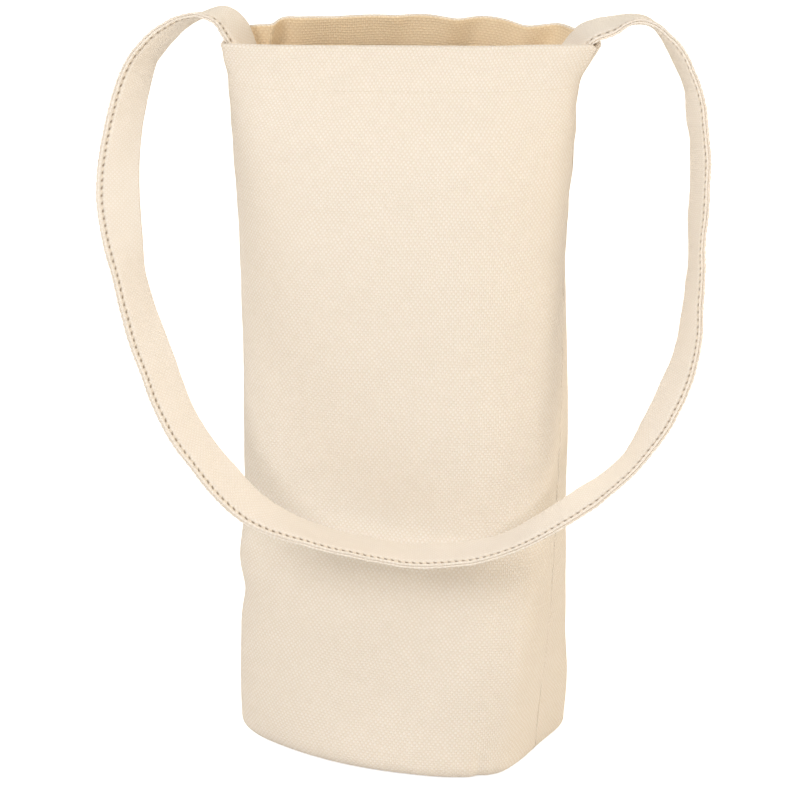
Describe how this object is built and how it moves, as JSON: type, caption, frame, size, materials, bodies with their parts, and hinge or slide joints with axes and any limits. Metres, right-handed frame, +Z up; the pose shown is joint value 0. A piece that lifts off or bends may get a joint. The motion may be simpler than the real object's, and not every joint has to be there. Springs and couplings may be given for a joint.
{
  "type": "canvas bottle carrier",
  "caption": "Slim canvas bag for one bottle, with a boxed base, a turned-in hem and a folded shoulder strap sewn inside the mouth.",
  "frame": {"origin": "centre of the underside of the boxed base", "axes": "+Z up from the base to the mouth, -Y to the front, where the strap hangs, +X to the right as seen from the front"},
  "size_m": [0.2585, 0.1293, 0.3308],
  "materials": {
    "canvas": "natural cotton canvas, plain weave",
    "strap_canvas": "folded cotton canvas, plain weave",
    "thread": "twisted cotton sewing thread"
  },
  "bodies": {
    "bag": {"front_panel": "canvas", "back_panel": "canvas", "strap_left_end": "strap_canvas", "strap_right_end": "strap_canvas", "left_side_seam_thread": "thread", "right_side_seam_thread": "thread", "base_seam_thread": "thread", "left_corner_seam_thread": "thread", "right_corner_seam_thread": "thread", "left_overlock_thread": "thread", "right_overlock_thread": "thread", "base_overlock_thread": "thread", "hem_stitching": "thread", "left_end_stitching": "thread", "right_end_stitching": "thread", "left_tack_stitching": "thread", "right_tack_stitching": "thread"},
    "strap": {"strap": "strap_canvas", "strap_stitching": "thread"}
  },
  "joints": [
    {"name": "strap_swing", "type": "hinge", "parent": "bag", "child": "strap", "pos_m": [0, 0.01, 0.327], "axis": [-1, 0, 0], "range_deg": [0, 326]}
  ]
}
